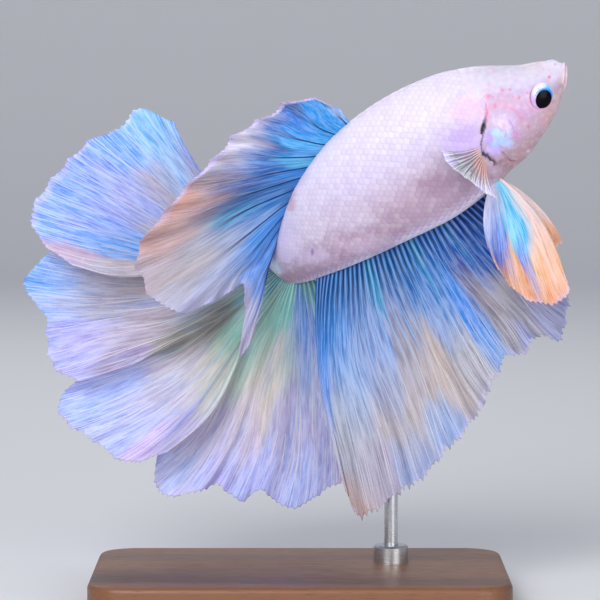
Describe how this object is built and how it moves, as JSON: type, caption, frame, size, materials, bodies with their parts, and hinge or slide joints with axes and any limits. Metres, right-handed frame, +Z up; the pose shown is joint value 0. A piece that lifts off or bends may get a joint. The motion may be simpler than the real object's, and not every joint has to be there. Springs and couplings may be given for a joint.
{
  "type": "betta fish model on a display stand",
  "caption": "Life-size still model of a male long-finned betta fish with flowing fins, swimming head up, held by a rod on a flat base.",
  "frame": {"origin": "middle of the stand base's underside", "axes": "+X towards the fish's head, +Y away from its right flank to its left, the way the tail swings, +Z up"},
  "size_m": [0.0736, 0.036, 0.07],
  "materials": {
    "skin": "pearly white to lilac scaled skin, satin",
    "gill_cover": "thin lilac and pink cheek plate, satin",
    "eye": "black pupil in a sky-blue and white iris, wet gloss",
    "dorsal_fin": "translucent blue membrane with cream edge",
    "anal_fin": "translucent royal blue membrane, cream and lilac below",
    "caudal_fin": "translucent sky-blue, lilac and cream membrane",
    "ventral_fin": "turquoise and apricot membrane",
    "pectoral_fin": "nearly clear membrane with pale rays",
    "stand_wood": "dark stained walnut, satin oil",
    "stand_steel": "fine brushed stainless steel"
  },
  "bodies": {
    "root": {"head": "skin", "lower_jaw": "skin", "gill_cover_right": "gill_cover", "gill_cover_left": "gill_cover", "trunk": "skin", "tail_stalk": "skin", "eye_right": "eye", "eye_left": "eye", "dorsal_fin": "dorsal_fin", "anal_fin": "anal_fin", "caudal_fin": "caudal_fin", "ventral_fin_right": "ventral_fin", "ventral_fin_left": "ventral_fin", "pectoral_fin_right": "pectoral_fin", "pectoral_fin_left": "pectoral_fin", "stand_base": "stand_wood", "stand_rod": "stand_steel", "stand_collar": "stand_steel"}
  },
  "joints": []
}
